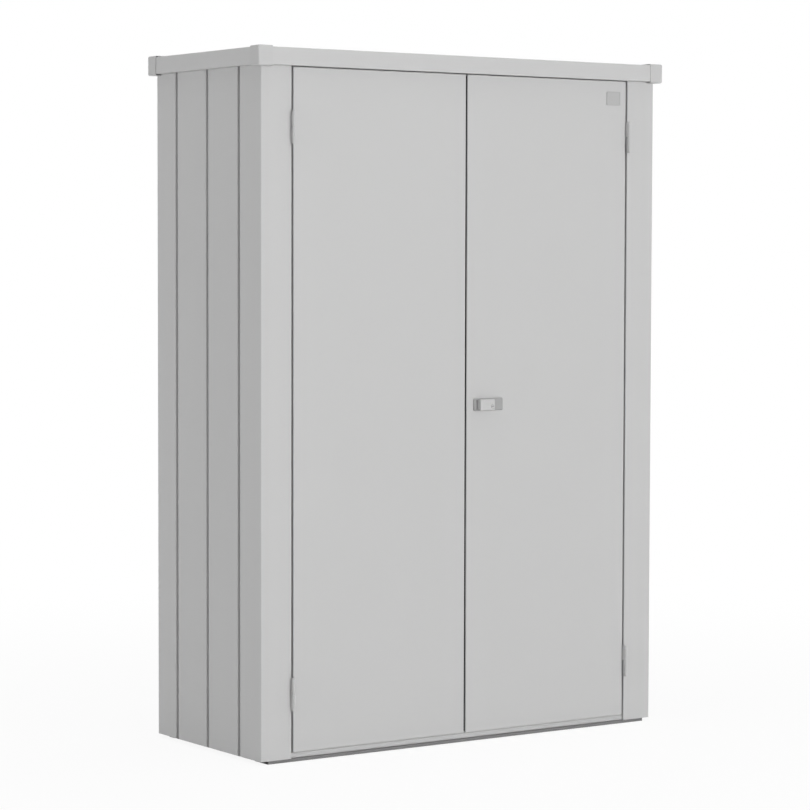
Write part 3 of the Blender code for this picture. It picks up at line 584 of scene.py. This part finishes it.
def screw_head(at, outward):
    """A pan head that lies on a surface at a point and faces outward."""
    shape = bmesh.new()
    turn = Vector(outward).to_track_quat("Z", "Y").to_matrix().to_4x4()
    bmesh.ops.create_cone(
        shape, cap_ends=True, segments=screw_sides, radius1=screw_radius,
        radius2=screw_radius * crown_share, depth=screw_height,
        matrix=Matrix.Translation((0, 0, screw_height / 2)))
    shape.normal_update()
    crown = max(shape.faces, key=lambda item: item.normal.z * item.calc_area())
    bmesh.ops.inset_region(
        shape, faces=[crown], thickness=screw_radius * recess_rim_share, use_even_offset=True)
    bmesh.ops.inset_region(
        shape, faces=[crown], thickness=screw_radius * recess_wall_share,
        depth=-screw_height * recess_depth_share, use_even_offset=True)
    bmesh.ops.transform(shape, matrix=Matrix.Translation(at) @ turn, verts=shape.verts)
    return shape


def screws(name, places, body):
    """Several screw heads as one object."""
    whole = bmesh.new()
    for at, outward in places:
        one = screw_head(at, outward)
        loose = bpy.data.meshes.new("one_screw")
        one.to_mesh(loose)
        one.free()
        whole.from_mesh(loose)
        bpy.data.meshes.remove(loose)
    piece = new_object(name, whole, plate_steel, body)
    shade_folds(piece, limit_deg=35.0)
    return piece


lift = 0.0001
flange_inset = 0.006
print("screw heads:", screw_radius * 2, "m across")

# %% Screws along the wall seams
lap_thickness = 0.0011
lowest_screw, screw_step, screws_per_seam = 0.25, 0.33, 5

seam_screws = []
for wall, facing in (("left", -1), ("right", 1)):
    for number in (1, 2):
        low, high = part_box(f"{wall}_side_panel_{number}")
        inner_x, lap_y = (high.x, low.y) if wall == "left" else (low.x, high.y)
        for step in range(screws_per_seam):
            at = (inner_x + facing * flange_inset, lap_y + facing * (lap_thickness + lift),
                  lowest_screw + screw_step * step)
            seam_screws.append((at, (0, facing, 0)))
screws("seam_screws", seam_screws, "cabinet")
print("seam screws:", len(seam_screws))

# %% [markdown]
# On the doors, two screws hold each guide of a rod or bolt, and three pairs hold each stiffener's flanges.

# %% Guide and stiffener screws
guide_screw_inset = 0.0036
stiffener_sheet = 0.0008
stiffener_screw_ends = 0.06


def guide_screws(guide):
    """Two screws beside a guide's hole."""
    low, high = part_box(guide)
    middle = (low.z + high.z) / 2
    return [((x, high.y + lift, middle), (0, 1, 0))
            for x in (low.x + guide_screw_inset, high.x - guide_screw_inset)]


def stiffener_screws(stiffener):
    """Three pairs of screws on a stiffener's two flanges."""
    low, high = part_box(stiffener)
    levels = (low.z + stiffener_screw_ends, (low.z + high.z) / 2, high.z - stiffener_screw_ends)
    return [((x, low.y + stiffener_sheet + lift, z), (0, 1, 0))
            for z in levels for x in (low.x + flange_inset, high.x - flange_inset)]


for door, guides in (("left_door", ("top_bolt_guide", "bottom_bolt_guide")),
                     ("right_door", ("upper_rod_guide", "lower_rod_guide"))):
    places = [place for guide in guides for place in guide_screws(guide)]
    places += stiffener_screws(door + "_stiffener")
    screws(door + "_screws", places, door)
    print(door, "screws:", len(places))

# %% [markdown]
# The light is that of a studio with soft lamps and a white backdrop. To the camera and in reflections the
# surroundings are plain white. For lighting, the sky is a weak even glow with four pools of light. The key
# light stands almost straight in front of the doors and level with them, so that it reaches under the roof's
# edge. One pool beside the left wall lights that wall in the same way, a very broad weak one lights the
# right wall, and a broad one from above falls on the roof and on the floor, which throws it back up. Each
# lamp has its strength, its direction and its focus: the higher the focus, the narrower the pool.

# %% Light
def aim(right_deg, up_deg):
    """A direction, turned to the right from straight in front of the doors and raised above level."""
    turn, rise = math.radians(right_deg), math.radians(up_deg)
    return Vector((math.sin(turn) * math.cos(rise), -math.cos(turn) * math.cos(rise), math.sin(rise)))


class Sky(Finish):
    """The world's node tree, worked with the same formulas."""

    def __init__(self, name):
        self.world = bpy.data.worlds.new(name)
        self.world.use_nodes = True
        self.tree = self.world.node_tree
        self.shader = self.tree.nodes["Background"]
        self.place = self.signal(self.node("ShaderNodeTexCoord", {}, {}), "Generated")


def seen_directly(finish):
    """1 for rays from the camera, or by way of a mirror or glass, and 0 for the light on things."""
    path = finish.node("ShaderNodeLightPath", {}, {})
    rays = [finish.signal(path, ray) for ray in ("Is Camera Ray", "Is Glossy Ray", "Is Transmission Ray")]
    return rays[0] + rays[1] + rays[2] > 0.5


even_glow = 0.02
lamps = {
    "key": (18.3, aim(12, 0.6), 42),
    "left": (7.5, aim(-86, 0.2), 34),
    "right": (0.50, aim(78, 12), 4),
    "top": (2.3, aim(0, 90), 5),
}

sky = Sky("studio_sky")
pools = sum(sky.place.facing(towards) ** focus * strength for strength, towards, focus in lamps.values())
direct = seen_directly(sky)
sky.feed(sky.shader, {"Color": (1, 1, 1, 1), "Strength": direct + (1 - direct) * (pools + even_glow)})
bpy.context.scene.world = sky.world
bpy.context.scene.view_settings.view_transform = "Standard"
print("lamps:", {name: lamp[0] for name, lamp in lamps.items()})

# %% [markdown]
# The floor is a very large pale disc. Seen directly it is mostly plain white, and fully white a few metres
# away, so that it runs into the backdrop without an edge. Near the cabinet it still shows the soft shadow.

# %% Floor
floor_radius = 80.0
floor_shape = bmesh.new()
bmesh.ops.create_circle(floor_shape, cap_ends=True, segments=96, radius=floor_radius)
floor_mesh = bpy.data.meshes.new("studio_floor")
floor_shape.to_mesh(floor_mesh)
floor_shape.free()
studio_floor = bpy.data.objects.new("studio_floor", floor_mesh)
bpy.context.scene.collection.objects.link(studio_floor)
print("floor:", floor_radius, "m in radius")

# %% Floor finish
floor_grey, floor_roughness = 0.9, 0.9
near_whiteness, far_whiteness = 0.91, 1.0
near_edge, far_edge = 0.9, 3.5
floor_finish = Finish("studio_floor_paint", grey(floor_grey), floor_roughness)
floor_finish.shader.inputs["Specular IOR Level"].default_value = 0.0
away = floor_finish.node("ShaderNodeVectorMath", {"operation": "LENGTH"}, {0: floor_finish.place})
spread = floor_finish.node(
    "ShaderNodeMapRange", {"interpolation_type": "SMOOTHSTEP"},
    {0: floor_finish.signal(away, "Value"), 1: near_edge, 2: far_edge, 3: near_whiteness, 4: far_whiteness})
white = floor_finish.node("ShaderNodeEmission", {}, {"Color": (1, 1, 1, 1), "Strength": 1.0})
covered = floor_finish.node("ShaderNodeMixShader", {}, {
    0: floor_finish.signal(spread, 0) * seen_directly(floor_finish),
    1: floor_finish.signal(floor_finish.shader, "BSDF"),
    2: floor_finish.signal(white, 0),
})
output = floor_finish.tree.nodes["Material Output"]
floor_finish.feed(output, {"Surface": floor_finish.signal(covered, 0)})
floor_mesh.materials.append(floor_finish.material)
print("floor: white from", far_edge, "m")

# %% [markdown]
# The camera stands to the front left, a little above the cabinet's middle, nearly eight metres away with a
# long lens. Its place and turn were worked out from the straight edges of the real cabinet in the picture.

# %% Camera
eye = Vector((-4.4404, -6.4377, 1.3240))
yaw, pitch, roll = math.radians(34.508), math.radians(3.122), math.radians(0.143)
sensor = 36.0
picture_width = 810
focal_pixels = 2841.9
camera_data = bpy.data.cameras.new("camera")
camera_data.sensor_width = sensor
camera_data.lens = focal_pixels / picture_width * sensor
camera = bpy.data.objects.new("camera", camera_data)
bpy.context.scene.collection.objects.link(camera)
heading = Matrix.Rotation(-yaw, 4, "Z")
tilt = Matrix.Rotation(math.pi / 2 - pitch, 4, "X")
camera.matrix_world = Matrix.Translation(eye) @ heading @ tilt @ Matrix.Rotation(roll, 4, "Z")
bpy.context.scene.camera = camera
print("lens:", round(camera_data.lens, 2), "mm")
